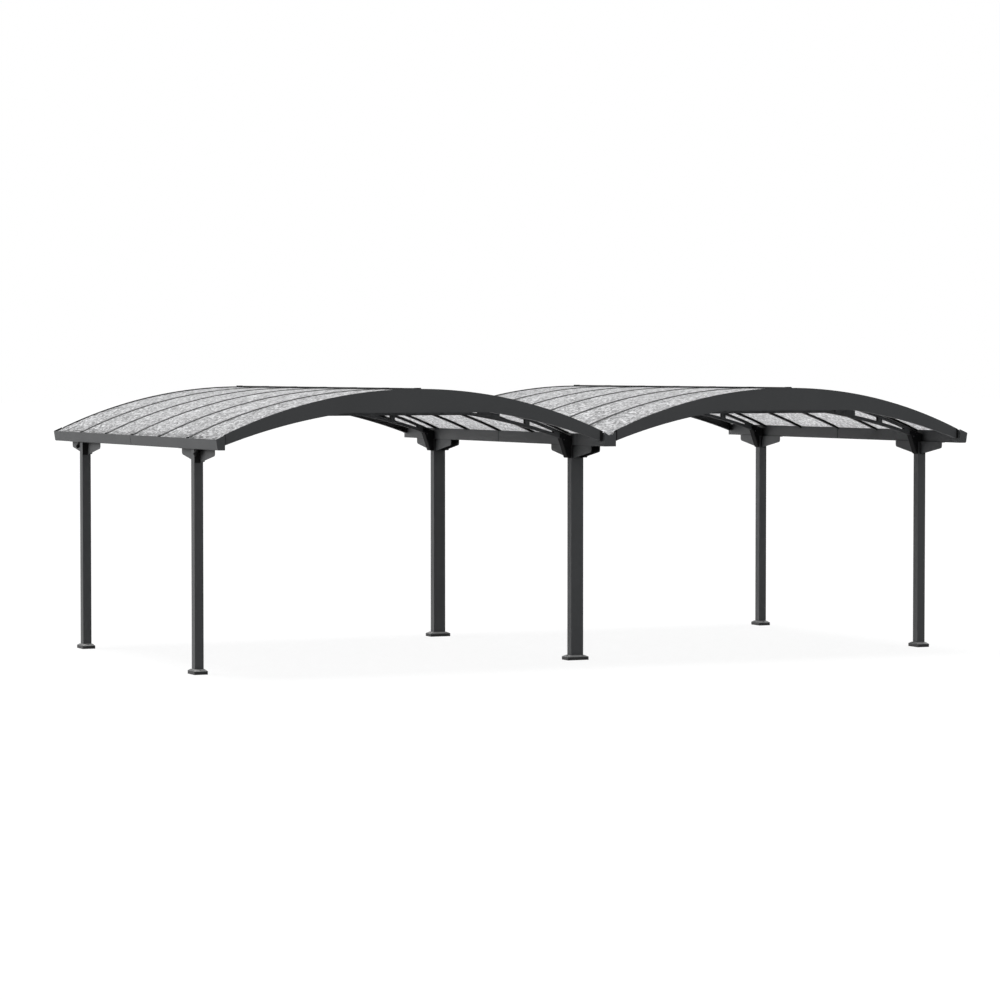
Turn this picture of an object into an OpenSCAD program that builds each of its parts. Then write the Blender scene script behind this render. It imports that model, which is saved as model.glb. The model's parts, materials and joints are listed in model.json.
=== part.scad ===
// Double arched carport: two arched roofs side by side on six posts.
// Millimetres, Z up, X across the bays, Y from front to rear.
// The origin lies on the ground, midway between the two middle posts.

/* [Layout] */
// Middle post centre to outer post centre
bay = 3600; // [3000:10:4200]
// Front post centre to rear post centre
post_gap = 3078; // [2400:2:3600]
// Length of the gutters from front to rear, end caps included
roof_len = 4485; // [3900:1:5400]
// Ground to the underside of the gutters
eave_h = 1934; // [1800:1:2600]

/* [Posts] */
// Side of an outer post, across the bays
post_w = 80; // [70:1:120]
// Width of a middle post, across the bays
mid_post_w = 120; // [110:1:160]
// Depth of every post, front to rear
post_d = 80; // [60:1:120]
// Wall of the post tubes
post_wall = 3; // [2:0.5:6]

/* [Feet] */
// Outer foot across the bays
foot_w = 122; // [110:1:200]
// Outer foot front to rear
foot_d = 172; // [150:1:240]
// Middle foot across the bays
mid_foot_w = 206; // [190:1:280]
// Middle foot front to rear
mid_foot_d = 128; // [115:1:200]
// Height of the straight side of a foot
foot_side = 29; // [16:1:40]
// Height of the bevel above it
foot_bevel = 15; // [10:1:30]
// Ledge left between the bevel and the post
foot_lip = 8; // [4:1:12]
// Thickness of the floor of a foot, under the post
foot_floor = 10; // [6:1:16]
// Bore for a ground anchor
anchor_d = 12; // [8:0.5:16]

/* [Gutters] */
// Outer post centre to the inner side of its gutter
gutter_step = 4; // [0:1:12]
// Width of an outer gutter
gutter_w = 80; // [70:1:120]
// Width of the shared middle gutter
mid_gutter_w = 112; // [100:1:160]
// Height of the sides of the middle gutter
mid_gutter_h = 106; // [80:1:107]
// Height of the outer side of an outer gutter
gutter_h = 92; // [74:1:110]
// Wall of the gutters
gutter_wall = 3; // [2:0.5:5]
// How far the outer side leans in towards its foot
gutter_lean = 12; // [4:1:20]
// Radius of the lower outer corner
gutter_r = 14; // [8:1:24]
// Thickness of the end caps
cap_t = 4; // [2:0.5:8]
// Open seam where the two lengths of a gutter meet
seam = 1.5; // [0.5:0.5:4]

/* [Roof arch] */
// Centre of the middle gutter to the place where the roof line has come down to the eave
valley = 40; // [30:1:46]
// Gutter underside up to the roof line, the underside of the panels, above the inner gutter side
eave_lift = 111; // [102:1:140]
// Rise of the roof line from there to the crown
rise = 386; // [300:1:480]
// Thickness of the roof panels
panel_t = 5; // [3:0.5:8]
// Number of panels of each roof
panel_n = 6; // [4:1:8]
// Gap between the lower ends of the panels and the outer side of an outer gutter
panel_gap = 13; // [8:1:40]
// Half the open valley between the panels of the two roofs, over the middle gutter
valley_gap = 10; // [4:1:20]

/* [Glazing bars] */
// Width of the bar's cap strip
bar_cap_w = 40; // [24:1:60]
// Thickness of the cap strip
bar_cap_t = 5; // [3:0.5:8]
// Width of the bar below the panels
bar_w = 30; // [20:1:50]
// Depth of the bar below the panels
bar_depth = 18; // [8:1:24]
// Web between two panels
bar_web = 6; // [4:0.5:10]
// How far the bars end short of the panels
bar_short = 6; // [2:1:20]
// Play of a bar in the notch of a gutter, on each side
notch_play = 1; // [0.5:0.5:4]
// Open joint between the two halves of a bar at the crown
bar_joint = 1; // [0.5:0.5:3]
// Play of a panel in its grooves
groove_play = 1; // [0.5:0.5:3]

/* [Ridge strip] */
// Width of the strip along the crown
ridge_w = 52; // [30:1:90]
// Height of the strip above the panels
ridge_t = 15; // [8:0.5:20]
// Wall of the strip, an open channel turned down
ridge_wall = 3; // [2:0.5:5]
// Width of the flange under the panels
ridge_low_w = 40; // [24:1:60]
// Thickness of that flange
ridge_low_t = 4; // [3:0.5:8]
// Web between the two halves of a panel
ridge_web = 4; // [3:0.5:8]
// Height of the knuckles over the bars
knuckle_t = 11; // [6:0.5:14]
// Length of the knobs at the ends of the strip
knob_l = 32; // [20:1:50]
// Height of the knobs above the panels
knob_h = 17.5; // [10:0.5:24]
// Gap between the strip's lengths and the knuckles
ridge_gap = 2; // [1:0.5:6]

/* [Fascia] */
// Lip of the fascia that stands above the roof line and hides the panel ends
fascia_lip = 15; // [11:1:26]
// Depth of the fascia below the roof line over its straight middle
fascia_mid = 190; // [162:1:224]
// Depth that its lower arc would have at the crown
fascia_crown = 146; // [120:1:154]
// Depth of the fascia below the roof line above the inner gutter side
fascia_end = 75; // [60:1:90]
// How far the fascia stands back from the gutter ends
fascia_back = 37; // [20:1:60]
// Sheet of the fascia
fascia_t = 4; // [3:0.5:6]
// Depth of the fascia's flanges
fascia_flange = 36; // [20:1:60]
// Width of the block between a fascia end and an outer gutter
block_w = 18; // [12:1:30]
// Width of the block beside the middle gutter
mid_block_w = 30; // [20:1:40]
// Height of the blocks below the roof line
block_h = 62; // [40:1:74]
// How far the blocks stand back from the fascia's face
block_back = 1; // [0.5:0.5:4]

/* [Trusses] */
// Top of the upper chord below the roof line
chord_drop = 36; // [28:1:50]
// Depth of the upper chord
chord_t = 23; // [18:1:32]
// Depth of the lower chord
low_chord_t = 29; // [20:1:36]
// Width of the chords, front to rear
chord_w = 40; // [30:1:60]
// Depth from the roof line to the truss underside over its straight middle
truss_mid = 223; // [202:1:246]
// Depth that its lower arc would have at the crown
truss_crown = 168; // [158:1:186]
// The same above the inner gutter side
truss_end = 92; // [86:1:101]
// Half the width of the king strut at the crown
king_half = 20; // [12:1:40]
// Crown to the strut between the two inner windows
inner_strut = 420; // [360:1:480]
// Crown to the solid splice at the haunch
splice_x = 860; // [800:1:880]
// Length of that splice
splice_l = 205; // [160:1:230]
// Crown to the strut between the two haunch windows
outer_strut = 1315; // [1250:1:1380]
// Width of the struts
strut_w = 44; // [30:1:60]
// Crown to the end of the last window
window_end = 1597; // [1540:1:1630]
// Open joint in the middle of the splice
splice_gap = 0.6; // [0.4:0.1:2]
// Reach of a leg in from the inner face of its post, at the foot
leg_toe = 14; // [8:1:50]
// Lean of the inner leg edge, more reach at the top
leg_flare = 65; // [20:1:80]
// How far a leg hangs below the gutters
leg_drop = 114; // [88:1:138]
// Width of a leg, front to rear
leg_w = 60; // [42:1:76]

/* [Wing plates] */
// Half the length of a wing plate
wing_l = 412; // [300:1:500]
// Thickness of a wing plate
wing_t = 5; // [3:0.5:8]
// Height of its upright end
wing_end = 31; // [24:1:44]
// Full depth of a wing plate at the post
wing_drop = 119; // [104:1:140]
// Level part of its lower edge, past the post
wing_flat = 0; // [0:1:100]
// Radius of the lower outer corners
wing_r = 27; // [10:1:44]
// How far an outer wing plate stands in from its post's centre
wing_x = 11; // [6:1:16]
// Distance of a middle wing plate from the centre
mid_wing_x = 42; // [36:1:46]
// Width of the flange that reaches out under an outer gutter
wing_flange = 34; // [22:1:40]
// Clearance between that flange and an outlet
outlet_gap = 2.5; // [1:0.5:6]
// Thickness of the flanges, which is also the gap between post and gutter
flange_t = 4; // [3:0.5:8]
// Gap between the two flanges over a middle post
flange_gap = 6; // [2:1:20]
// Play of a plate in the slots of the post
slot_play = 0.5; // [0.3:0.1:2]

/* [Outlets] */
// Outside of the outlet pipe
pipe_d = 36; // [22:1:38]
// Wall of the outlet pipe
pipe_wall = 3; // [2:0.5:5]
// Inner gutter side to the middle of an outlet
outlet_in = 20; // [20:1:30]
// Post centre to outlet, towards the roof's end
outlet_y = 84; // [60:1:160]
// Angle of the outlet's bend
outlet_turn = 65; // [45:5:90]
// Radius of the outlet's bend, inner side
outlet_bend = 36; // [20:1:60]

/* [Hidden] */
$fn = 96;

frame_grey = [0.23, 0.235, 0.24];
block_black = [0.05, 0.05, 0.05];
panel_grey = [0.78, 0.80, 0.82];

// Gap left between curved faces that lie on each other
skin = 0.3;
// Inner side of an outer gutter
gutter_in = bay + gutter_step;
// Roof centre and half span, taken between an outer gutter and the same place over the middle
roof_c = (gutter_in + valley) / 2;
half = roof_c - valley;
// Inner side of the middle gutter, seen from the roof centre
half_mid = roof_c - mid_gutter_w / 2;
crown_z = eave_h + eave_lift + rise;

// Radius of an arc that rises h over the half chord c
function arc_r(c, h) = (c * c + h * h) / (2 * h);
// Height of an arc with crown height z and radius r at the distance x from its crown
function arc_z(z, r, x) = z - r + sqrt(r * r - x * x);

roof_r = arc_r(half, rise);
fascia_low_z = crown_z - fascia_crown;
fascia_flat_z = crown_z - fascia_mid;
fascia_low_r = arc_r(half, rise - fascia_crown + fascia_end);
truss_low_z = crown_z - truss_crown;
truss_flat_z = crown_z - truss_mid;
truss_low_r = arc_r(half, rise - truss_crown + truss_end);

// Layers of the roof, as radii about the roof's own centre
r_panel = roof_r + skin;
r_panel_top = r_panel + panel_t;
r_cap = r_panel_top + skin;
r_cap_top = r_cap + bar_cap_t;
r_bar = roof_r - bar_depth;
r_chord = roof_r - chord_drop;

y_end = roof_len / 2;
y_fascia = y_end - fascia_back;
pitch = 2 * y_fascia / panel_n;
y_post = post_gap / 2;

// Top of the inner side of an outer gutter, just under the panels
wall_top = arc_z(crown_z, roof_r, half + gutter_wall) - skin;
// Notches in the inner gutter sides, where the bars rest
notch_w = bar_w + 2 * notch_play;
notch_z = arc_z(crown_z - bar_depth, r_bar, half + gutter_wall) - skin;
mid_notch_z = arc_z(crown_z - bar_depth, r_bar, half_mid + gutter_wall) - skin;
// Reach of the panels from the roof centre, over an outer gutter and over the middle one
reach = half + gutter_w - gutter_wall - panel_gap;
mid_reach = roof_c - valley_gap;

post_top = eave_h - flange_t;
// Inner height of the end caps, level with the lip of the fascia
cap_h = eave_lift + fascia_lip;
// Deeper than anything that hangs below the gutters, for cutting and clipping
deep = leg_drop + wing_drop + rise;
// Overshoot of a cut past the face it opens
cut = 1;

// Centre of an outlet across its gutter
outlet_x = gutter_in + outlet_in;

// Lays a drawing of X and Z upright and gives it the depth from y0 to y1
module upright(y0, y1) {
  translate([0, y1, 0])
    rotate([90, 0, 0])
      linear_extrude(height = y1 - y0)
        children();
}

// Everything under an arc of crown height z and radius r, between x0 and x1
module under_arc(z, r, x0, x1) {
  intersection() {
    translate([0, z - r])
      circle(r = r, $fn = 720);
    translate([x0, eave_h - deep])
      square([x1 - x0, z - eave_h + deep]);
  }
}

// Band between two concentric arcs about the roof's centre
module arc_band(r_in, r_out, x0, x1) {
  difference() {
    under_arc(crown_z - roof_r + r_out, r_out, x0, x1);
    translate([0, crown_z - roof_r])
      circle(r = r_in, $fn = 720);
  }
}

// What lies under a lower edge: an arc with the middle cut off level at the height flat
module under_edge(z, r, flat) {
  intersection() {
    translate([0, z - r])
      circle(r = r, $fn = 720);
    translate([-reach, eave_h - deep])
      square([2 * reach, flat - eave_h + deep]);
  }
}

// Same piece at the rear as at the front
module front_and_rear() {
  children();
  mirror([0, 1, 0])
    children();
}

// Posts

// Tube with slots in its front and rear faces that take the wing plates, each from one x to another
module tube_post(w, slots) {
  difference() {
    translate([-w / 2, -post_d / 2, foot_floor])
      cube([w, post_d, post_top - foot_floor]);
    translate([-w / 2 + post_wall, -post_d / 2 + post_wall, foot_floor - cut])
      cube([w - 2 * post_wall, post_d - 2 * post_wall, post_top - foot_floor + 2 * cut]);
    for (x = slots)
      translate([x[0], -post_d, eave_h - wing_drop - slot_play])
        cube([x[1] - x[0], 2 * post_d, wing_drop + 2 * slot_play]);
  }
}

// Right outer post, whose slots open from the plate to the outer wall
module outer_post() {
  tube_post(post_w, [[-wing_x - wing_t / 2 - slot_play, post_w / 2 - post_wall]]);
}

// Middle post with a narrow slot for each of its two plates
module middle_post() {
  s = wing_t / 2 + slot_play;
  tube_post(mid_post_w, [[-mid_wing_x - s, -mid_wing_x + s], [mid_wing_x - s, mid_wing_x + s]]);
}

module post_left_front() {
  color(frame_grey)
    translate([-bay, -y_post, 0])
      mirror([1, 0, 0])
        outer_post();
}

module post_left_rear() {
  color(frame_grey)
    translate([-bay, y_post, 0])
      mirror([1, 0, 0])
        outer_post();
}

module post_middle_front() {
  color(frame_grey)
    translate([0, -y_post, 0])
      middle_post();
}

module post_middle_rear() {
  color(frame_grey)
    translate([0, y_post, 0])
      middle_post();
}

module post_right_front() {
  color(frame_grey)
    translate([bay, -y_post, 0])
      outer_post();
}

module post_right_rear() {
  color(frame_grey)
    translate([bay, y_post, 0])
      outer_post();
}

// Feet

// Block with a straight side and a bevel that runs in to the post
module bevel_block(w, d, pw) {
  h = foot_side + foot_bevel;
  intersection() {
    upright(-d, d)
      polygon([[-w / 2, 0], [w / 2, 0], [w / 2, foot_side], [pw / 2 + foot_lip, h],
               [-pw / 2 - foot_lip, h], [-w / 2, foot_side]]);
    rotate([0, 0, 90])
      upright(-w, w)
        polygon([[-d / 2, 0], [d / 2, 0], [d / 2, foot_side], [post_d / 2 + foot_lip, h],
                 [-post_d / 2 - foot_lip, h], [-d / 2, foot_side]]);
  }
}

// along: anchors lie front to rear of the post (true) or beside it (false)
module foot(w, d, pw, along) {
  ax = along ? 0 : (w + pw) / 4;
  ay = along ? (d + post_d) / 4 : 0;
  difference() {
    bevel_block(w, d, pw);
    translate([-pw / 2, -post_d / 2, foot_floor])
      cube([pw, post_d, foot_side + foot_bevel]);
    for (s = [-1, 1])
      translate([s * ax, s * ay, -cut])
        cylinder(d = anchor_d, h = foot_side + foot_bevel + 2 * cut);
  }
}

module foot_left_front() {
  color(frame_grey)
    translate([-bay, -y_post, 0])
      foot(foot_w, foot_d, post_w, true);
}

module foot_left_rear() {
  color(frame_grey)
    translate([-bay, y_post, 0])
      foot(foot_w, foot_d, post_w, true);
}

module foot_middle_front() {
  color(frame_grey)
    translate([0, -y_post, 0])
      foot(mid_foot_w, mid_foot_d, mid_post_w, false);
}

module foot_middle_rear() {
  color(frame_grey)
    translate([0, y_post, 0])
      foot(mid_foot_w, mid_foot_d, mid_post_w, false);
}

module foot_right_front() {
  color(frame_grey)
    translate([bay, -y_post, 0])
      foot(foot_w, foot_d, post_w, true);
}

module foot_right_rear() {
  color(frame_grey)
    translate([bay, y_post, 0])
      foot(foot_w, foot_d, post_w, true);
}

// Wing plates

// Outline of a wing plate, drawn with the post's centre line at 0
module wing_outline() {
  low = eave_h - wing_drop;
  cx = wing_l - wing_r;
  cz = eave_h - wing_end;
  flat = post_d / 2 + wing_flat;
  // slope of the lower edge, a straight line that touches the corner circle
  a = atan2(cz - wing_r - low, cx - flat);
  tx = cx + wing_r * sin(a);
  tz = cz - wing_r * cos(a);
  intersection() {
    for (s = [-1, 1])
      translate([s * cx, cz])
        circle(r = wing_r);
    translate([-wing_l, low])
      square([2 * wing_l, cz - low]);
  }
  polygon([[-wing_l, post_top], [wing_l, post_top], [wing_l, cz], [tx, tz], [flat, low],
           [-flat, low], [-tx, tz], [-wing_l, cz]]);
}

// Plate with its flange, plate centred on 0, flange towards +X and cut out round an outlet
module wing_plate() {
  rotate([0, 0, 90])
    upright(-wing_t / 2, wing_t / 2)
      wing_outline();
  difference() {
    translate([-wing_t / 2, -wing_l, post_top])
      cube([wing_flange, 2 * wing_l, flange_t]);
    for (s = [-1, 1])
      translate([outlet_x - bay + wing_x, s * outlet_y, post_top - cut])
        cylinder(d = pipe_d + 2 * outlet_gap, h = flange_t + 2 * cut);
  }
}

module wing_plates_right() {
  color(frame_grey)
    for (s = [-1, 1])
      translate([bay - wing_x, s * y_post, 0])
        wing_plate();
}

module wing_plates_left() {
  color(frame_grey)
    for (s = [-1, 1])
      translate([-bay + wing_x, s * y_post, 0])
        mirror([1, 0, 0])
          wing_plate();
}

// Over the middle the flanges point to each other and stay short of the centre
module mid_wing_plate() {
  rotate([0, 0, 90])
    upright(-wing_t / 2, wing_t / 2)
      wing_outline();
  translate([flange_gap / 2 - mid_wing_x, -wing_l, post_top])
    cube([mid_wing_x - flange_gap / 2 + wing_t / 2, 2 * wing_l, flange_t]);
}

module wing_plates_middle_right() {
  color(frame_grey)
    for (s = [-1, 1])
      translate([mid_wing_x, s * y_post, 0])
        mid_wing_plate();
}

module wing_plates_middle_left() {
  color(frame_grey)
    for (s = [-1, 1])
      translate([-mid_wing_x, s * y_post, 0])
        mirror([1, 0, 0])
          mid_wing_plate();
}

// Gutters

// Outline of an outer gutter, inner side at 0, underside at 0
module gutter_outline(t) {
  x_low = gutter_w - gutter_lean;
  top = gutter_h + (t > 0 ? cut : 0);
  polygon([[t, t], [x_low - gutter_r, t], [x_low - t, gutter_r], [gutter_w - t, top], [t, top]]);
  translate([x_low - gutter_r, gutter_r])
    circle(r = gutter_r - t);
}

module gutter_section() {
  difference() {
    gutter_outline(0);
    gutter_outline(gutter_wall);
    // the inner side stops under the panels
    translate([-cut, wall_top - eave_h])
      square([gutter_wall + 2 * cut, gutter_h]);
  }
  if (wall_top - eave_h > gutter_h)
    translate([0, gutter_h - cut])
      square([gutter_wall, wall_top - eave_h - gutter_h + cut]);
}

// Notches for the bars in a gutter side that starts at x, from the height z up to its top
module bar_notches(x, z, top) {
  if (top > z)
    for (i = [1 : panel_n - 1])
      translate([x - cut, -y_fascia + i * pitch - notch_w / 2, z])
        cube([gutter_wall + 2 * cut, notch_w, top - z + cut]);
}

module outer_gutter(y0, y1) {
  difference() {
    translate([gutter_in, 0, eave_h])
      upright(y0, y1)
        gutter_section();
    // drain holes over the outlet pipes
    for (s = [-1, 1])
      translate([outlet_x, s * (y_post + outlet_y), eave_h - cut])
        cylinder(d = pipe_d - 2 * pipe_wall, h = gutter_wall + 2 * cut);
    bar_notches(gutter_in, notch_z, wall_top);
  }
}

module middle_gutter(y0, y1) {
  w = mid_gutter_w;
  h = mid_gutter_h;
  difference() {
    translate([0, 0, eave_h])
      upright(y0, y1)
        difference() {
          translate([-w / 2, 0])
            square([w, h]);
          translate([-w / 2 + gutter_wall, gutter_wall])
            square([w - 2 * gutter_wall, h]);
        }
    for (x = [-w / 2, w / 2 - gutter_wall])
      bar_notches(x, mid_notch_z, eave_h + h);
  }
}

module gutter_right_front() {
  color(frame_grey)
    outer_gutter(-y_end + cap_t, -seam / 2);
}

module gutter_right_rear() {
  color(frame_grey)
    outer_gutter(seam / 2, y_end - cap_t);
}

module gutter_left_front() {
  color(frame_grey)
    mirror([1, 0, 0])
      outer_gutter(-y_end + cap_t, -seam / 2);
}

module gutter_left_rear() {
  color(frame_grey)
    mirror([1, 0, 0])
      outer_gutter(seam / 2, y_end - cap_t);
}

module gutter_middle_front() {
  color(frame_grey)
    middle_gutter(-y_end + cap_t, -seam / 2);
}

module gutter_middle_rear() {
  color(frame_grey)
    middle_gutter(seam / 2, y_end - cap_t);
}

// End caps

// Closes the gutter's end and slopes up to the fascia's lip on its inner side
module outer_cap() {
  translate([gutter_in, 0, eave_h])
    upright(-y_end, -y_end + cap_t) {
      gutter_outline(0);
      polygon([[0, gutter_h - cut], [gutter_w, gutter_h - cut], [gutter_w, gutter_h], [0, cap_h]]);
    }
}

// The middle cap rises on both sides, as a shallow valley between the roofs
module middle_cap() {
  w = mid_gutter_w / 2;
  translate([0, 0, eave_h])
    upright(-y_end, -y_end + cap_t)
      polygon([[-w, 0], [w, 0], [w, cap_h], [0, gutter_h], [-w, cap_h]]);
}

module end_caps_right() {
  color(frame_grey)
    front_and_rear()
      outer_cap();
}

module end_caps_left() {
  color(frame_grey)
    mirror([1, 0, 0])
      front_and_rear()
        outer_cap();
}

module end_caps_middle() {
  color(frame_grey)
    front_and_rear()
      middle_cap();
}

// Trusses

// One window of the truss between two upright edges
module truss_window(x0, x1) {
  difference() {
    under_arc(crown_z - chord_drop - chord_t, r_chord - chord_t, x0, x1);
    under_edge(truss_low_z + low_chord_t, truss_low_r + low_chord_t, truss_flat_z + low_chord_t);
  }
}

// Tapered leg; xp is the post's inner face, xg the gutter's inner side
module leg_outline(xp, xg, toe) {
  low = eave_h - leg_drop;
  top = arc_z(crown_z - chord_drop, r_chord, xg);
  polygon([[toe, low], [xp, low], [xp, eave_h], [xg, eave_h], [xg, top],
           [toe - leg_flare, top]]);
}

// Lattice of both chords, splices and struts, from x0 to x1
module truss_lattice(x0, x1) {
  upright(-chord_w / 2, chord_w / 2)
    difference() {
      under_arc(crown_z - chord_drop, r_chord, x0, x1);
      under_edge(truss_low_z, truss_low_r, truss_flat_z);
      for (s = [0, 1])
        mirror([s, 0]) {
          truss_window(king_half, inner_strut);
          truss_window(inner_strut + strut_w, splice_x);
          truss_window(splice_x + splice_l, outer_strut);
          truss_window(outer_strut + strut_w, window_end);
        }
    }
}

// Crown part and two haunches with their legs, which meet in the middle of the splices.
// Right roof: the outer leg stands at +X, the middle one at -X.
module truss() {
  xp = bay - post_w / 2 - roof_c;
  xm = roof_c - mid_post_w / 2;
  toe = xp - leg_toe;
  part = splice_x + splice_l / 2;
  truss_lattice(-part + splice_gap / 2, part - splice_gap / 2);
  truss_lattice(part + splice_gap / 2, half);
  truss_lattice(-half_mid, -part - splice_gap / 2);
  upright(-leg_w / 2, leg_w / 2) {
    leg_outline(xp, half, toe);
    mirror([1, 0])
      leg_outline(xm, half_mid, toe);
  }
}

module truss_right_front() {
  color(frame_grey)
    translate([roof_c, -y_post, 0])
      truss();
}

module truss_right_rear() {
  color(frame_grey)
    translate([roof_c, y_post, 0])
      truss();
}

module truss_left_front() {
  color(frame_grey)
    mirror([1, 0, 0])
      translate([roof_c, -y_post, 0])
        truss();
}

module truss_left_rear() {
  color(frame_grey)
    mirror([1, 0, 0])
      translate([roof_c, y_post, 0])
        truss();
}

// Fascias

// Crescent between an arc that lies up above the roof line and the flatter lower edge, raised by t
module crescent(up, t) {
  difference() {
    under_arc(crown_z + up, roof_r + up, -half_mid + mid_block_w, half - block_w);
    under_edge(fascia_low_z + t, fascia_low_r + t, fascia_flat_z + t);
  }
}

// Sheet with a lip in front of the panels, and flanges behind it
module fascia() {
  upright(-y_fascia, -y_fascia + fascia_t)
    crescent(fascia_lip, 0);
  upright(-y_fascia, -y_fascia + fascia_flange)
    difference() {
      crescent(-skin, 0);
      crescent(-skin - fascia_t, fascia_t);
    }
}

module fascia_right_front() {
  color(frame_grey)
    translate([roof_c, 0, 0])
      fascia();
}

module fascia_right_rear() {
  color(frame_grey)
    translate([roof_c, 0, 0])
      mirror([0, 1, 0])
        fascia();
}

module fascia_left_front() {
  color(frame_grey)
    translate([-roof_c, 0, 0])
      mirror([1, 0, 0])
        fascia();
}

module fascia_left_rear() {
  color(frame_grey)
    translate([-roof_c, 0, 0])
      rotate([0, 0, 180])
        fascia();
}

// Blocks between the fascia ends and the gutters

// Outline of a block from x0 to x1 with its top up above the roof line
module block_outline(x0, x1, up) {
  difference() {
    under_arc(crown_z + up, roof_r + up, x0, x1);
    translate([x0 - cut, eave_h - deep])
      square([x1 - x0 + 2 * cut, deep + eave_lift - block_h]);
  }
}

// Block under the panel's end, with a lip in line with the fascia's
module fascia_block(x0, x1) {
  upright(-y_fascia + block_back, -y_fascia + fascia_t)
    block_outline(x0, x1, fascia_lip);
  upright(-y_fascia + block_back, -y_fascia + fascia_flange)
    block_outline(x0, x1, -skin);
}

module fascia_blocks() {
  front_and_rear()
    translate([roof_c, 0, 0]) {
      fascia_block(half - block_w, half);
      fascia_block(-half_mid, -half_mid + mid_block_w);
    }
}

module fascia_blocks_right() {
  color(block_black)
    fascia_blocks();
}

module fascia_blocks_left() {
  color(block_black)
    mirror([1, 0, 0])
      fascia_blocks();
}

// Glazing bars

// Half a bar from the crown to the gutter: cap strip, web and base
module half_bar(far) {
  near = bar_joint / 2;
  upright(-bar_cap_w / 2, bar_cap_w / 2)
    arc_band(r_cap, r_cap_top, near, far);
  upright(-bar_web / 2, bar_web / 2)
    arc_band(roof_r - cut, r_cap + cut, near, far);
  upright(-bar_w / 2, bar_w / 2)
    arc_band(r_bar, roof_r, near, far);
}

module glazing_bars() {
  for (i = [1 : panel_n - 1])
    translate([roof_c, -y_fascia + i * pitch, 0]) {
      half_bar(reach - bar_short);
      mirror([1, 0, 0])
        half_bar(mid_reach - bar_short);
    }
}

module glazing_bars_right() {
  color(frame_grey)
    glazing_bars();
}

module glazing_bars_left() {
  color(frame_grey)
    mirror([1, 0, 0])
      glazing_bars();
}

// Roof panels

// Half panels on one side of the crown, from the ridge strip to far
module half_panels(far) {
  play = bar_web / 2 + groove_play;
  edge = fascia_t + groove_play;
  for (i = [0 : panel_n - 1])
    upright(-y_fascia + i * pitch + (i > 0 ? play : edge),
            -y_fascia + (i + 1) * pitch - (i < panel_n - 1 ? play : edge))
      arc_band(r_panel, r_panel_top, ridge_web / 2 + groove_play, far);
}

// Each panel is two halves that meet in the ridge strip
module roof_panels() {
  translate([roof_c, 0, 0]) {
    half_panels(reach);
    mirror([1, 0, 0])
      half_panels(mid_reach);
  }
}

module roof_panels_right() {
  color(panel_grey)
    roof_panels();
}

module roof_panels_left() {
  color(panel_grey)
    mirror([1, 0, 0])
      roof_panels();
}

// Ridge strips

// Profile that holds the panel halves: hollow strip above, web between and flange below them
module ridge_profile() {
  top = crown_z + r_panel_top - roof_r + skin;
  low = crown_z + r_panel - roof_r - 2 * skin;
  translate([0, top])
    difference() {
      translate([-ridge_w / 2, 0])
        square([ridge_w, ridge_t]);
      translate([-ridge_w / 2 + ridge_wall, -cut])
        square([ridge_w - 2 * ridge_wall, ridge_t - ridge_wall + cut]);
    }
  translate([-ridge_web / 2, low - cut])
    square([ridge_web, top - low + ridge_t]);
  translate([-ridge_low_w / 2, low - ridge_low_t])
    square([ridge_low_w, ridge_low_t]);
}

module ridge_strip() {
  z_panel = crown_z + r_panel_top - roof_r + skin;
  z_cap = crown_z + r_cap_top - roof_r + skin;
  play = max(bar_cap_w, bar_w) / 2 + ridge_gap;
  edge = fascia_t + groove_play;
  near = max(edge + knob_l, fascia_flange) + ridge_gap;
  // one length of the profile over each panel
  for (i = [0 : panel_n - 1])
    translate([roof_c, 0, 0])
      upright(-y_fascia + i * pitch + (i > 0 ? play : near),
              -y_fascia + (i + 1) * pitch - (i < panel_n - 1 ? play : near))
        ridge_profile();
  // knuckles over the bars
  for (i = [1 : panel_n - 1])
    translate([roof_c - ridge_w / 2, -y_fascia + i * pitch - bar_cap_w / 2, z_cap])
      cube([ridge_w, bar_cap_w, knuckle_t]);
  // knobs at both ends, behind the lips of the fascias
  front_and_rear()
    translate([roof_c - ridge_w / 2, -y_fascia + edge, z_panel])
      cube([ridge_w, knob_l, knob_h]);
}

module ridge_strip_right() {
  color(frame_grey)
    ridge_strip();
}

module ridge_strip_left() {
  color(frame_grey)
    mirror([1, 0, 0])
      ridge_strip();
}

// Outlets under the outer gutters

// Hollow bend from the gutter's underside outwards, front one
module outlet() {
  bend = pipe_d / 2 + outlet_bend;
  translate([outlet_x + bend, -y_post - outlet_y, eave_h])
    rotate([90, 0, 0])
      rotate([0, 0, 180])
        rotate_extrude(angle = outlet_turn)
          translate([bend, 0])
            difference() {
              circle(d = pipe_d);
              circle(d = pipe_d - 2 * pipe_wall);
            }
}

module outlets_right() {
  color(block_black)
    front_and_rear()
      outlet();
}

module outlets_left() {
  color(block_black)
    mirror([1, 0, 0])
      front_and_rear()
        outlet();
}

post_left_front();
post_left_rear();
post_middle_front();
post_middle_rear();
post_right_front();
post_right_rear();
foot_left_front();
foot_left_rear();
foot_middle_front();
foot_middle_rear();
foot_right_front();
foot_right_rear();
wing_plates_left();
wing_plates_middle_left();
wing_plates_middle_right();
wing_plates_right();
gutter_left_front();
gutter_left_rear();
gutter_middle_front();
gutter_middle_rear();
gutter_right_front();
gutter_right_rear();
end_caps_left();
end_caps_middle();
end_caps_right();
truss_left_front();
truss_left_rear();
truss_right_front();
truss_right_rear();
fascia_left_front();
fascia_left_rear();
fascia_right_front();
fascia_right_rear();
fascia_blocks_left();
fascia_blocks_right();
glazing_bars_left();
glazing_bars_right();
roof_panels_left();
roof_panels_right();
ridge_strip_left();
ridge_strip_right();
outlets_left();
outlets_right();
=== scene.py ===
import json
import math

import bmesh
import bpy
from mathutils import Matrix, Vector


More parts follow.
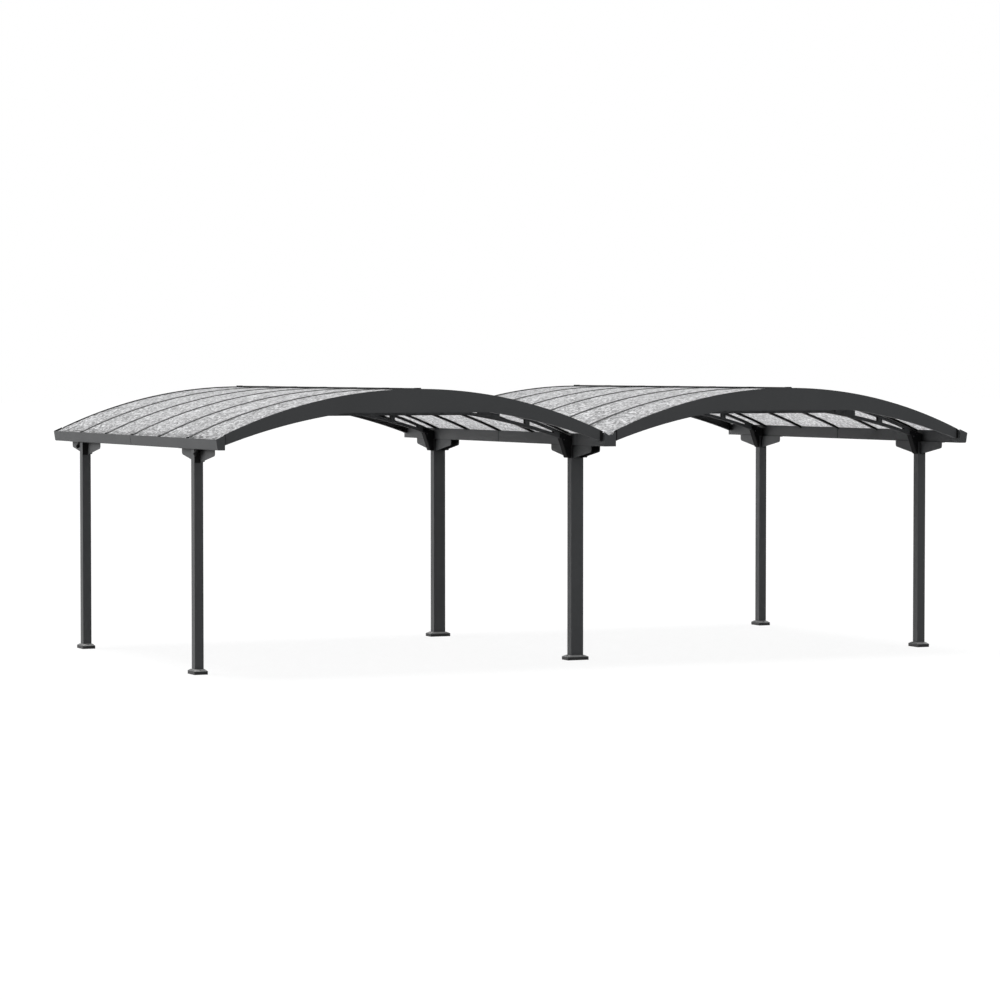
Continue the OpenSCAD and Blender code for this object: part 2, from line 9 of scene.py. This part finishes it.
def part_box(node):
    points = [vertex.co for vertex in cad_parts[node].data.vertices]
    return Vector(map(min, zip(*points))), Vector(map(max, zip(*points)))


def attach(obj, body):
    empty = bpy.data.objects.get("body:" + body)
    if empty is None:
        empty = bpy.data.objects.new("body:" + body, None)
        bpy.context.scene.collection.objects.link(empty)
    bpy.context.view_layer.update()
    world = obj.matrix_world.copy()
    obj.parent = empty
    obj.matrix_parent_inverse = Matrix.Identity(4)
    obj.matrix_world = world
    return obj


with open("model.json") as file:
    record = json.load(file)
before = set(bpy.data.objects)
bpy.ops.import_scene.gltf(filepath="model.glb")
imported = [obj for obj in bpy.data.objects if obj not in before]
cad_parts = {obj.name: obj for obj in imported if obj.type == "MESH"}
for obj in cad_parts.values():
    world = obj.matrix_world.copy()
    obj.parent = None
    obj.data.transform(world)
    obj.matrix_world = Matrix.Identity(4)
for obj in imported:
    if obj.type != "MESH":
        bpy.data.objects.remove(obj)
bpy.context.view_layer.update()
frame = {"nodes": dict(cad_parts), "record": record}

# %% [markdown]
# ## The camera
# The picture was taken from the left, a little above the roof's crown, with a long lens.
# A camera could be set by eye. Here its place was solved from the six posts, which stand on a
# known grid, so every edge falls where it falls in the picture.
# %% Camera
lens = bpy.data.cameras.new("long_lens")
lens.sensor_width = 36.0
lens.lens = 127.18
lens.clip_end = 500.0
camera = bpy.data.objects.new("photo_camera", lens)
camera.location = (-13.8697, -30.0988, 2.6292)
camera.rotation_euler = (math.radians(90.0 - 2.1483), 0.0, math.radians(-24.680))
bpy.context.scene.collection.objects.link(camera)
bpy.context.scene.camera = camera
bpy.context.scene.view_settings.view_transform = "Standard"
print("camera at", tuple(round(v, 2) for v in camera.location))

# %% [markdown]
# ## White surroundings
# The object stands on a white ground that melts into a white backdrop.
# A very bright lamp would also give white, but it would bleach the object. So the world and the
# floor show white only to the camera and to mirror-like rays, and light the object at a plain level.
# %% Small helpers for node trees
def add(tree, kind, **values):
    """Adds a shader node; a value goes to a socket of that name, or else to a property."""
    made = tree.nodes.new(kind)
    for key, value in values.items():
        name = key.replace("_", " ")
        if name in made.inputs:
            made.inputs[name].default_value = value
        else:
            setattr(made, key, value)
    return made


def wire(tree, source, target):
    tree.links.new(source, target)


def seen_ray(tree):
    """1 for rays that should meet the white backdrop: camera, glossy and transmission rays."""
    path = add(tree, "ShaderNodeLightPath")
    first = add(tree, "ShaderNodeMath", operation="MAXIMUM")
    both = add(tree, "ShaderNodeMath", operation="MAXIMUM")
    wire(tree, path.outputs["Is Camera Ray"], first.inputs[0])
    wire(tree, path.outputs["Is Glossy Ray"], first.inputs[1])
    wire(tree, first.outputs[0], both.inputs[0])
    wire(tree, path.outputs["Is Transmission Ray"], both.inputs[1])
    return both.outputs[0]


# %% World
SKY_LEVEL = 0.62

world = bpy.data.worlds.new("white_studio")
bpy.context.scene.world = world
world.use_nodes = True
sky = world.node_tree
sky.nodes.clear()
dome = add(sky, "ShaderNodeBackground", Color=(0.97, 0.985, 1.0, 1.0), Strength=SKY_LEVEL)
white = add(sky, "ShaderNodeBackground", Color=(1.0, 1.0, 1.0, 1.0), Strength=1.0)
choose = add(sky, "ShaderNodeMixShader")
sky_out = add(sky, "ShaderNodeOutputWorld")
wire(sky, seen_ray(sky), choose.inputs[0])
wire(sky, dome.outputs[0], choose.inputs[1])
wire(sky, white.outputs[0], choose.inputs[2])
wire(sky, choose.outputs[0], sky_out.inputs["Surface"])
print("world level:", SKY_LEVEL)

# %% [markdown]
# The floor keeps a soft shadow: most of its white is its own glow towards the camera, and the
# rest is lit like any ground. To the light it is a mid grey, so little comes back from below.
# %% Floor
FLOOR_REACH = 220.0
FLOOR_GLOW = 0.9

bm = bmesh.new()
bmesh.ops.create_grid(bm, x_segments=1, y_segments=1, size=FLOOR_REACH)
floor_mesh = bpy.data.meshes.new("floor")
bm.to_mesh(floor_mesh)
bm.free()
floor = bpy.data.objects.new("floor", floor_mesh)
bpy.context.scene.collection.objects.link(floor)

ground = bpy.data.materials.new("white_ground")
ground.use_nodes = True
g = ground.node_tree
g.nodes.clear()
seen = seen_ray(g)
tone = add(g, "ShaderNodeMix", data_type="RGBA")
tone.inputs["A"].default_value = (0.16, 0.16, 0.16, 1.0)
tone.inputs["B"].default_value = (0.92, 0.92, 0.92, 1.0)
lit = add(g, "ShaderNodeBsdfDiffuse")
glow = add(g, "ShaderNodeEmission", Strength=1.0)
share = add(g, "ShaderNodeMath", operation="MULTIPLY")
share.inputs[1].default_value = FLOOR_GLOW
blend = add(g, "ShaderNodeMixShader")
ground_out = add(g, "ShaderNodeOutputMaterial")
wire(g, seen, tone.inputs["Factor"])
wire(g, tone.outputs["Result"], lit.inputs["Color"])
wire(g, seen, share.inputs[0])
wire(g, share.outputs[0], blend.inputs[0])
wire(g, lit.outputs[0], blend.inputs[1])
wire(g, glow.outputs[0], blend.inputs[2])
wire(g, blend.outputs[0], ground_out.inputs["Surface"])
floor_mesh.materials.append(ground)
print("floor:", [round(v) for v in floor.dimensions])

# %% [markdown]
# ## The lamps
# The left faces are lighter than the front faces, and tops are lightest, so the main light comes
# from high on the left and a little from behind. One broad sun gives it, with soft shadows.
# A second lamp, low on the left and also behind, reaches in under the roofs as a large board would.
# It is so broad that only what lies close to a leg or a plate falls into its shadow.
# %% Sun and board
def lamp(name, kind, towards, level, **values):
    """A lamp that shines from the direction given; a white matt face square to it shows level."""
    data = bpy.data.lights.new(name, kind)
    data.energy = level * math.pi
    for key, value in values.items():
        setattr(data, key, value)
    made = bpy.data.objects.new(name, data)
    made.rotation_euler = Vector(towards).to_track_quat("Z", "Y").to_euler()
    bpy.context.scene.collection.objects.link(made)
    return made


sun = lamp("upper_left_sun", "SUN", (-0.06, 0.16, 0.985), 0.97, angle=math.radians(26.0))
board = lamp("left_board", "SUN", (-0.76, 0.61, 0.22), 0.50, angle=math.radians(44.0))
print("lamps:", sun.name, board.name)

# %% [markdown]
# ## Powder coat
# The frame is aluminium with a satin, dark grey powder coat. Powder melts into a skin with a fine
# orange peel. Upward faces of the feet close to the ground are painted light grey, a painted highlight;
# other upward faces are painted darker and corners near black, both painted shade. The legs of the
# trusses are black, so the trusses get a coat of their own that turns black past the place where a leg
# starts, and the ridge strips get a near black one, which is painted shade. Both are matt, because a
# reflection of the white surroundings would turn their black grey. Where the black begins is read from
# the picture.
# A painted image could show all that, but nodes on object coordinates keep it sharp at any distance.
# %% Powder coat material
def surface(name):
    """A new material with one Principled shader, its tree and a node for object coordinates."""
    made = bpy.data.materials.new(name)
    made.use_nodes = True
    tree = made.node_tree
    tree.nodes.clear()
    skin = add(tree, "ShaderNodeBsdfPrincipled")
    out = add(tree, "ShaderNodeOutputMaterial")
    wire(tree, skin.outputs[0], out.inputs["Surface"])
    place = add(tree, "ShaderNodeTexCoord")
    return made, tree, skin, place.outputs["Object"]


def speckle(tree, place, scale, detail=2.0, roughness=0.5):
    made = add(tree, "ShaderNodeTexNoise", Scale=scale, Detail=detail, Roughness=roughness)
    wire(tree, place, made.inputs["Vector"])
    return made.outputs["Fac"]


def span(tree, value, low, high, to_low, to_high):
    made = add(tree, "ShaderNodeMapRange")
    ends = {"From Min": low, "From Max": high, "To Min": to_low, "To Max": to_high}
    for socket, number in ends.items():
        made.inputs[socket].default_value = number
    wire(tree, value, made.inputs["Value"])
    return made.outputs["Result"]


def mixed(tree, share, first, second, way="MIX"):
    """A colour mix; first and second are colours or sockets."""
    made = add(tree, "ShaderNodeMix", data_type="RGBA", blend_type=way)
    for socket, value in ((made.inputs["A"], first), (made.inputs["B"], second)):
        if isinstance(value, tuple):
            socket.default_value = value
        else:
            wire(tree, value, socket)
    if isinstance(share, float):
        made.inputs["Factor"].default_value = share
    else:
        wire(tree, share, made.inputs["Factor"])
    return made.outputs["Result"]


def bumps(tree, height, depth, strength=1.0):
    made = add(tree, "ShaderNodeBump", Strength=strength, Distance=depth)
    wire(tree, height, made.inputs["Height"])
    return made.outputs["Normal"]


SATIN = 0.22
MATT = 0.03


def powder_coat(name, dark_from=None, dark_tint=None, shine=SATIN):
    """The coat; past dark_from, measured from the middle of a roof to either side, it is darker."""
    made, t, skin, place = surface(name)
    cloud = span(t, speckle(t, place, 2.2, 4.0), 0.3, 0.7, 0.0, 1.0)
    tint = mixed(t, cloud, (0.062, 0.064, 0.066, 1.0), (0.074, 0.076, 0.078, 1.0))
    facing = add(t, "ShaderNodeSeparateXYZ")
    wire(t, add(t, "ShaderNodeNewGeometry").outputs["Normal"], facing.inputs[0])
    where = add(t, "ShaderNodeSeparateXYZ")
    wire(t, place, where.inputs[0])
    # Painted shade: faces that look up are painted darker.
    tint = mixed(t, span(t, facing.outputs["Z"], 0.5, 0.9, 0.0, 1.0), tint, PAINTED_TOP_SHADE)
    # Painted shade: where other parts are close, in corners and recesses, the coat is painted near black.
    corner = add(t, "ShaderNodeAmbientOcclusion", samples=24, Distance=0.16)
    tint = mixed(t, span(t, corner.outputs["AO"], 0.48, 0.74, 0.0, 1.0), PAINTED_CORNER_SHADE, tint)
    if dark_from is None:
        # Painted highlight: faces that look up, close to the ground, are painted light grey.
        low = span(t, where.outputs["Z"], 0.05, 0.12, 1.0, 0.0)
        foot_highlight_mask = add(t, "ShaderNodeMath", operation="MULTIPLY")
        wire(t, low, foot_highlight_mask.inputs[0])
        wire(t, span(t, facing.outputs["Z"], 0.62, 0.74, 0.0, 1.0), foot_highlight_mask.inputs[1])
        tint = mixed(t, foot_highlight_mask.outputs[0], tint, PAINTED_FOOT_HIGHLIGHT)
    else:
        # Past dark_from the coat takes dark_tint: the legs' own black, and on the ridge strips painted
        # shade.
        side = add(t, "ShaderNodeMath", operation="ABSOLUTE")
        wire(t, where.outputs["X"], side.inputs[0])
        out = add(t, "ShaderNodeMath", operation="SUBTRACT")
        wire(t, side.outputs[0], out.inputs[0])
        out.inputs[1].default_value = ROOF_X
        reach = add(t, "ShaderNodeMath", operation="ABSOLUTE")
        wire(t, out.outputs[0], reach.inputs[0])
        dark = span(t, reach.outputs[0], dark_from - 0.001, dark_from, 0.0, 1.0)
        tint = mixed(t, dark, tint, dark_tint)
    wire(t, tint, skin.inputs["Base Color"])
    wire(t, span(t, cloud, 0.0, 1.0, 0.46, 0.58), skin.inputs["Roughness"])
    wire(t, bumps(t, speckle(t, place, 620.0, 1.0), 0.0002, 0.25), skin.inputs["Normal"])
    skin.inputs["Specular IOR Level"].default_value = shine
    print("material:", name, len(t.nodes), "nodes")
    return made


ROOF_X = 1.822
LEG_FROM = 1.659
# The top, corner and ridge tints below are painted shade; the foot tint is a painted highlight.
PAINTED_TOP_SHADE = (0.042, 0.043, 0.044, 1.0)
PAINTED_CORNER_SHADE = (0.004, 0.004, 0.004, 1.0)
PAINTED_FOOT_HIGHLIGHT = (0.31, 0.31, 0.306, 1.0)
LEG_TINT = (0.010, 0.010, 0.0105, 1.0)
PAINTED_RIDGE_SHADE = (0.014, 0.014, 0.0145, 1.0)

coat = powder_coat("dark_grey_powder_coat")
truss_coat = powder_coat("truss_coat_with_black_legs", LEG_FROM, LEG_TINT, MATT)
# The ridge strips' near black is painted shade.
ridge_shade_coat = powder_coat("ridge_strip_painted_shade", 0.0, PAINTED_RIDGE_SHADE, MATT)

# %% [markdown]
# ## Stippled roof sheet
# The roof panels are thin opal plastic with a stippled face. Light passes and spreads, so they glow
# from below and look pale grey from above. Clear glass with a rough face would be noisy to render.
# A sheet that is part matt and part translucent gives the same look. Small cells, each with a tone of
# its own, draw the stipple.
# %% Roof sheet material
CELLS_PER_METRE = 66.0
CELL_STRETCH = (1.0, 0.55, 1.0)
DARKER_CELLS = 1.3
LIGHT_PASSES = 0.62

sheet, t, skin, place = surface("stippled_opal_sheet")
stretch = add(t, "ShaderNodeMapping")
stretch.inputs["Scale"].default_value = CELL_STRETCH
wire(t, place, stretch.inputs["Vector"])
cells = add(t, "ShaderNodeTexVoronoi", Scale=CELLS_PER_METRE)
wire(t, stretch.outputs[0], cells.inputs["Vector"])
grain = add(t, "ShaderNodeSeparateColor")
wire(t, cells.outputs["Color"], grain.inputs[0])
power = add(t, "ShaderNodeMath", operation="POWER")
wire(t, grain.outputs["Red"], power.inputs[0])
power.inputs[1].default_value = DARKER_CELLS
coarse = power.outputs[0]
fine = span(t, speckle(t, place, 330.0, 1.0), 0.35, 0.65, 0.0, 1.0)
shade = mixed(t, coarse, (0.04, 0.04, 0.0405, 1.0), (0.93, 0.93, 0.935, 1.0))
shade = mixed(t, span(t, fine, 0.0, 1.0, 0.0, 0.2), shade, (0.40, 0.40, 0.403, 1.0))
wire(t, shade, skin.inputs["Base Color"])
wire(t, span(t, fine, 0.0, 1.0, 0.42, 0.6), skin.inputs["Roughness"])
wire(t, bumps(t, coarse, 0.002, 0.3), skin.inputs["Normal"])
skin.inputs["Specular IOR Level"].default_value = 0.2
passing = add(t, "ShaderNodeBsdfTranslucent")
let_through = mixed(t, coarse, (0.66, 0.66, 0.665, 1.0), (0.98, 0.98, 0.985, 1.0))
wire(t, let_through, passing.inputs["Color"])
two = add(t, "ShaderNodeMixShader")
two.inputs[0].default_value = LIGHT_PASSES
wire(t, skin.outputs[0], two.inputs[1])
wire(t, passing.outputs[0], two.inputs[2])
sheet_out = next(n for n in t.nodes if n.type == "OUTPUT_MATERIAL")
wire(t, two.outputs[0], sheet_out.inputs["Surface"])
print("material:", sheet.name, len(t.nodes), "nodes")

# %% [markdown]
# ## Moulded black plastic
# The outlet bends are moulded in black plastic with a fine grain. The blocks at the fascia ends take the
# same black, and so do the fills in the post head slots, where the black is painted shade.
# One flat black would look like a hole in the picture. Noise in the tone, the roughness and a very low
# bump keeps it a surface.
# %% Black plastic material
black, t, skin, place = surface("black_plastic_and_slot_shade")
grain = speckle(t, place, 900.0, 2.0, 0.7)
faded = span(t, speckle(t, place, 14.0, 3.0), 0.3, 0.7, 0.0, 1.0)
wire(t, mixed(t, faded, (0.004, 0.004, 0.004, 1.0), (0.009, 0.009, 0.009, 1.0)), skin.inputs["Base Color"])
wire(t, span(t, grain, 0.3, 0.7, 0.5, 0.7), skin.inputs["Roughness"])
wire(t, bumps(t, grain, 0.00015, 0.4), skin.inputs["Normal"])
skin.inputs["Specular IOR Level"].default_value = 0.15
print("material:", black.name, len(t.nodes), "nodes")

# %% [markdown]
# ## Finishes on the frame's own solids
# The record says which slot each solid belongs to, so the finishes go on by that name. Setting them
# solid by solid would also work, but then a new solid would be left bare. Trusses and ridge strips
# take the coats made for them.
# %% Put the finishes on
finish_of = {"frame": coat, "panel": sheet, "black_plastic": black}
slot_of = {s["node"]: s["material_slot"] for s in frame["record"]["subparts"]}
own_coat = {"truss": truss_coat, "ridge": ridge_shade_coat}
for name, solid in frame["nodes"].items():
    solid.data.materials.clear()
    solid.data.materials.append(own_coat.get(name.split("_")[0], finish_of[slot_of[name]]))
print("finished solids:", len(slot_of))

# %% [markdown]
# ## Screws and bolts
# Domed screws hold each fascia to the bars behind it, and through bolts join truss and leg.
# A plain disc would do from afar. A short outline turned once round its axis gives the dome and the
# socket in a single spin, and every fastener is then a copy of that one head.
# %% Zinc plated steel
steel, t, skin, place = surface("zinc_plated_steel")
blotch = span(t, speckle(t, place, 90.0, 3.0), 0.3, 0.7, 0.0, 1.0)
wire(t, mixed(t, blotch, (0.50, 0.51, 0.52, 1.0), (0.68, 0.69, 0.70, 1.0)), skin.inputs["Base Color"])
wire(t, span(t, blotch, 0.0, 1.0, 0.32, 0.48), skin.inputs["Roughness"])
wire(t, bumps(t, speckle(t, place, 1500.0, 1.0), 0.00005, 0.3), skin.inputs["Normal"])
skin.inputs["Metallic"].default_value = 0.6
print("material:", steel.name)

# %% One turned head
HEAD = ((0.0, 0.55), (0.30, 0.55), (0.37, 0.97), (0.62, 0.92),
        (0.88, 0.62), (1.0, 0.2), (1.0, -0.2), (0.0, -0.2))
HEAD_STEPS = 12

bm = bmesh.new()
points = [bm.verts.new((reach, 0.0, rise)) for reach, rise in HEAD]
outline = [bm.edges.new(pair) for pair in zip(points, points[1:])]
bmesh.ops.spin(bm, geom=points + outline, cent=(0, 0, 0), axis=(0, 0, 1), dvec=(0, 0, 0),
               angle=2.0 * math.pi, steps=HEAD_STEPS, use_merge=True, use_duplicate=False)
bmesh.ops.remove_doubles(bm, verts=bm.verts, dist=1e-4)
bmesh.ops.recalc_face_normals(bm, faces=bm.faces)
head = bpy.data.meshes.new("turned_head")
bm.to_mesh(head)
bm.free()
print("head faces:", len(head.polygons))

# %% [markdown]
# A helper sets copies of the head on their seats, each turned to face outwards, and joins them into
# one object, which rides on the carport's only body.
# %% Helper that seats heads and keeps a piece
def keep(name, bm, finish):
    """Makes an object of a bmesh, with its finish, and lets it ride on the carport."""
    mesh = bpy.data.meshes.new(name)
    bm.to_mesh(mesh)
    bm.free()
    mesh.materials.append(finish)
    piece = bpy.data.objects.new(name, mesh)
    bpy.context.scene.collection.objects.link(piece)
    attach(piece, "root")
    print(name + ":", len(mesh.polygons), "faces")
    return piece


def seat_heads(bm, seats, out, radius, height):
    """Adds one head at each seat; out is the direction in which the heads stand."""
    turn = Vector(out).to_track_quat("Z", "Y").to_matrix().to_4x4()
    size = Matrix.Diagonal((radius, radius, height, 1.0))
    for seat in seats:
        first = len(bm.verts)
        bm.from_mesh(head)
        bm.verts.ensure_lookup_table()
        bmesh.ops.transform(bm, matrix=Matrix.Translation(seat) @ turn @ size, verts=bm.verts[first:])


# %% [markdown]
# The fascia screws follow the fascia's upper edge at an even depth below it. That edge is an arc, so
# the height of each screw comes from the arc's own centre and radius.
# %% Fascia screws
CROWN_Z = 2.431
ROOF_R = 4.3064
ARC_CENTRE_Z = CROWN_Z - ROOF_R
FASCIA_LIP = 0.015
SCREW_DEPTH = 0.037
SCREW_ARC = ROOF_R + FASCIA_LIP - SCREW_DEPTH
SCREW_SEAT = 0.004
SCREW_X = (0.150, 0.318, 0.479, 0.755, 0.961)

bm = bmesh.new()
for side in (-1, 1):
    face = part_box("fascia_right_front")[0][1] if side < 0 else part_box("fascia_right_rear")[1][1]
    seat_y = face - side * SCREW_SEAT
    seats = []
    for roof in (-ROOF_X, ROOF_X):
        for dx in SCREW_X:
            z = ARC_CENTRE_Z + math.sqrt(SCREW_ARC ** 2 - dx ** 2)
            seats += [(roof - dx, seat_y, z), (roof + dx, seat_y, z)]
    seat_heads(bm, seats, (0, side, 0), radius=0.006, height=0.003)
keep("fascia_screws", bm, steel)

# %% [markdown]
# In the picture the black legs look about as wide as their posts, wider than the solids have them.
# So a cheek is laid on either side of each leg and makes up the width. No separate plate shows on the
# real one. A scaled block would not follow the taper, so the outline is the leg's own, a little
# smaller, drawn as one face that is extruded and then loses its sharp edges.
# %% Cheeks of the legs
LEG_Y = 1.539
LEG_SIDE = 0.030
CHEEK_T = 0.010
LEG_LOW, SEAT_Z, LEG_TOP = 1.8205, 1.9345, 2.004
TOE_X, FLARE_X = 1.7245, 1.661
POST_AND_WALL_X = {"outer": (1.7375, 1.7815), "middle": (1.7615, 1.7655)}


def cheek_outline(end):
    """The outline of a cheek, as distances from the middle of its roof and heights."""
    post, wall = POST_AND_WALL_X[end]
    return ((TOE_X, LEG_LOW), (post, LEG_LOW), (post, SEAT_Z),
            (wall, SEAT_Z), (wall, LEG_TOP), (FLARE_X, LEG_TOP))



bm = bmesh.new()
for roof in (-1, 1):
    for end, lean in (("outer", roof), ("middle", -roof)):
        for truss_y in (-LEG_Y, LEG_Y):
            for side in (-1, 1):
                start = truss_y + side * LEG_SIDE
                points = [bm.verts.new((roof * ROOF_X + lean * x, start, z)) for x, z in cheek_outline(end)]
                face = bm.faces.new(points)
                grown = bmesh.ops.extrude_face_region(bm, geom=[face], use_keep_orig=True)["geom"]
                moved = [v for v in grown if isinstance(v, bmesh.types.BMVert)]
                bmesh.ops.translate(bm, verts=moved, vec=(0, side * CHEEK_T, 0))
bmesh.ops.recalc_face_normals(bm, faces=bm.faces)
bmesh.ops.bevel(bm, geom=bm.edges[:], offset=0.0015, affect="EDGES", segments=2,
                profile=0.5, material=-1)
keep("leg_cheeks", bm, truss_coat)

# %% [markdown]
# Each leg is bolted to its truss where the two overlap: two bolts through the chord and one lower
# down through the cheeks, with heads on both sides. They are coated like the frame, so they show as
# small bumps and not as bright dots.
# %% Bolts of the legs
BOLTS = ((1.669, 2.040, 0.020), (1.722, 2.017, 0.020), (1.690, 1.985, LEG_SIDE + CHEEK_T))

bm = bmesh.new()
for truss_y in (-LEG_Y, LEG_Y):
    for side in (-1, 1):
        seats = [(roof + lean * dx, truss_y + side * deep, z)
                 for roof in (-ROOF_X, ROOF_X) for lean in (-1, 1) for dx, z, deep in BOLTS]
        seat_heads(bm, seats, (0, side, 0), radius=0.0065, height=0.005)
keep("leg_bolts", bm, coat)

# %% [markdown]
# ## Plugs in the bar ends
# Each glazing bar is an open extrusion, so a moulded plug closes its lower end over the outer gutter.
# A block with rounded edges is enough. It is tilted to the slope that the roof has there.
# %% End plugs
PANEL_TOP = ROOF_R + 0.0053
CAP_TOP = ROOF_R + 0.0106
BAR_LOW = ROOF_R - 0.018
PLUG_X = 1.838
FASCIA_Y = 2.2055
PANEL_PITCH = 0.735167
BARS_Y = [-FASCIA_Y + i * PANEL_PITCH for i in range(1, 6)]
PLUG_L = 0.016
PLUG_PARTS = ((PANEL_TOP, CAP_TOP + 0.004, 0.050), (BAR_LOW - 0.0005, ROOF_R, 0.031))


def soft_block(bm, size, place, round_off):
    """A block of a given size with rounded edges, put in its place by a matrix."""
    made = bmesh.ops.create_cube(bm, size=1.0, matrix=place @ Matrix.Diagonal((*size, 1.0)))
    edges = {edge for vert in made["verts"] for edge in vert.link_edges}
    bmesh.ops.bevel(bm, geom=list(edges), offset=round_off, affect="EDGES", segments=2,
                    profile=0.5, material=-1)


bm = bmesh.new()
for roof in (-1, 1):
    for bar_y in BARS_Y:
        for low, high, width in PLUG_PARTS:
            radius = (low + high) / 2
            lean = math.asin(PLUG_X / radius)
            seat = Vector((roof * (ROOF_X + PLUG_X), bar_y, ARC_CENTRE_Z + radius * math.cos(lean)))
            place = Matrix.Translation(seat) @ Matrix.Rotation(roof * lean, 4, "Y")
            soft_block(bm, (PLUG_L, width, high - low), place, 0.0015)
keep("bar_end_plugs", bm, black)

# %% [markdown]
# ## Black fills in the post heads, painted shade
# The slot in the head of an outer post is wider than the plate that it takes, and the rest of the slot
# shows black, as it lies in deep shade. A black block fills that rest, so its black is painted shade.
# A bare block would have knife edges, so it is a block with rounded edges whose two open faces are set
# in a little.
# %% Post head slot fills, painted shade
SLOT_FILL = {"x": (3.5925, 3.6365), "y": (1.4995, 1.5785), "z": (1.8155, 1.9290)}

bm = bmesh.new()
for across in (-1, 1):
    for along in (-1, 1):
        middle = [sum(SLOT_FILL[axis]) / 2 for axis in "xyz"]
        size = [SLOT_FILL[axis][1] - SLOT_FILL[axis][0] for axis in "xyz"]
        seat = Matrix.Translation((across * middle[0], along * middle[1], middle[2]))
        soft_block(bm, size, seat, 0.002)
ends = [f for f in bm.faces if abs(f.normal.y) > 0.99 and f.calc_area() > 0.003]
bmesh.ops.inset_individual(bm, faces=ends, thickness=0.004, depth=-0.002)
# The black of these blocks is painted shade.
keep("post_head_slot_shade", bm, black)

# %% [markdown]
# ## Seals beside the bars
# A rubber lip runs along both edges of each cap strip and presses on the panel. It could be bent
# along a curve. A lip's outline spun about the roof's own axis follows the arch exactly.
# The lips leave the crown free, where the ridge strip lies.
# %% Panel seals
LIP = ((0.0202, 0.0046), (0.0250, 0.0042), (0.0305, 0.0016), (0.0305, 0.0003), (0.0202, 0.0003))
CLEAR_OF_RIDGE = 0.030
OUTER_REACH = 1.828
MIDDLE_REACH = 1.806
SEAL_STEPS = 36


def seal(bm, roof, bar_y, edge, start, end):
    """One lip from start to end, both measured across from the crown; edge is the side of the bar."""
    first = math.asin(start / PANEL_TOP)
    axle = Vector((roof * ROOF_X, 0.0, ARC_CENTRE_Z))
    points = []
    for out, tall in LIP:
        arm = PANEL_TOP + tall
        corner = Vector((arm * math.sin(first), bar_y + edge * out, arm * math.cos(first)))
        points.append(bm.verts.new(axle + corner))
    loop = [bm.edges.new(pair) for pair in zip(points, points[1:] + points[:1])]
    bmesh.ops.spin(bm, geom=points + loop, cent=axle, axis=(0, 1, 0), dvec=(0, 0, 0),
                   angle=math.asin(end / PANEL_TOP) - first, steps=SEAL_STEPS,
                   use_merge=False, use_duplicate=False)


bm = bmesh.new()
for roof in (-1, 1):
    for bar_y in BARS_Y:
        for edge in (-1, 1):
            seal(bm, roof, bar_y, edge, roof * CLEAR_OF_RIDGE, roof * OUTER_REACH)
            seal(bm, roof, bar_y, edge, -roof * CLEAR_OF_RIDGE, -roof * MIDDLE_REACH)
bmesh.ops.holes_fill(bm, edges=[e for e in bm.edges if e.is_boundary], sides=len(LIP))
bmesh.ops.recalc_face_normals(bm, faces=bm.faces)
keep("panel_seals", bm, black)

# %% [markdown]
# ## Seam covers of the gutters
# Each gutter is two lengths that meet at mid length. A thin rubber cover hides the seam.
# Its outline follows the gutter's outside. Extruding that line and giving it a wall makes the strip.
# %% Seam covers
COVER_W = 0.012
OUTER_LINE = ((3.604, 2.030), (3.604, 1.934), (3.658, 1.934), (3.6633, 1.9351),
              (3.668, 1.938), (3.671, 1.9427), (3.6722, 1.948), (3.6822, 2.013))
MIDDLE_LINE = ((-0.056, 2.034), (-0.056, 1.934), (0.056, 1.934), (0.056, 2.034))


def seam_cover(bm, line, flip):
    points = [bm.verts.new((flip * x, -COVER_W / 2, z)) for x, z in line]
    edges = [bm.edges.new(pair) for pair in zip(points, points[1:])]
    grown = bmesh.ops.extrude_edge_only(bm, edges=edges)["geom"]
    moved = [v for v in grown if isinstance(v, bmesh.types.BMVert)]
    bmesh.ops.translate(bm, verts=moved, vec=(0, COVER_W, 0))


bm = bmesh.new()
seam_cover(bm, OUTER_LINE, 1)
seam_cover(bm, OUTER_LINE, -1)
seam_cover(bm, MIDDLE_LINE, 1)
bmesh.ops.recalc_face_normals(bm, faces=bm.faces)
bmesh.ops.solidify(bm, geom=bm.faces[:], thickness=0.001)
keep("gutter_seam_covers", bm, black)

# %% [markdown]
# ## Returns of the end caps
# In the picture the corner between an end cap and the block behind it is closed, though not how.
# A usual way is a sheet that turns back along the cap's inner edge until it meets the block.
# A block would fill the corner too, but two corners and an extrusion give the strip, and a wall
# thickness makes it the thin sheet that a fold leaves.
# %% End cap returns
RETURN_X = (-3.6030, -0.0570, 0.0570, 3.6030)
RETURN_Y = (2.2060, 2.2380)
RETURN_Z = (1.986, 2.056)
RETURN_T = 0.0015

bm = bmesh.new()
for x in RETURN_X:
    for along in (-1, 1):
        points = [bm.verts.new((x, along * RETURN_Y[0], z)) for z in RETURN_Z]
        grown = bmesh.ops.extrude_edge_only(bm, edges=[bm.edges.new(points)])["geom"]
        moved = [v for v in grown if isinstance(v, bmesh.types.BMVert)]
        bmesh.ops.translate(bm, verts=moved, vec=(0, along * (RETURN_Y[1] - RETURN_Y[0]), 0))
for face in bm.faces:
    face.normal_update()
    x = face.calc_center_median().x
    to_the_gutter = x if abs(x) > ROOF_X else -x
    if face.normal.x * to_the_gutter < 0:
        face.normal_flip()
bmesh.ops.solidify(bm, geom=bm.faces[:], thickness=RETURN_T)
bmesh.ops.recalc_face_normals(bm, faces=bm.faces)
keep("end_cap_returns", bm, coat)
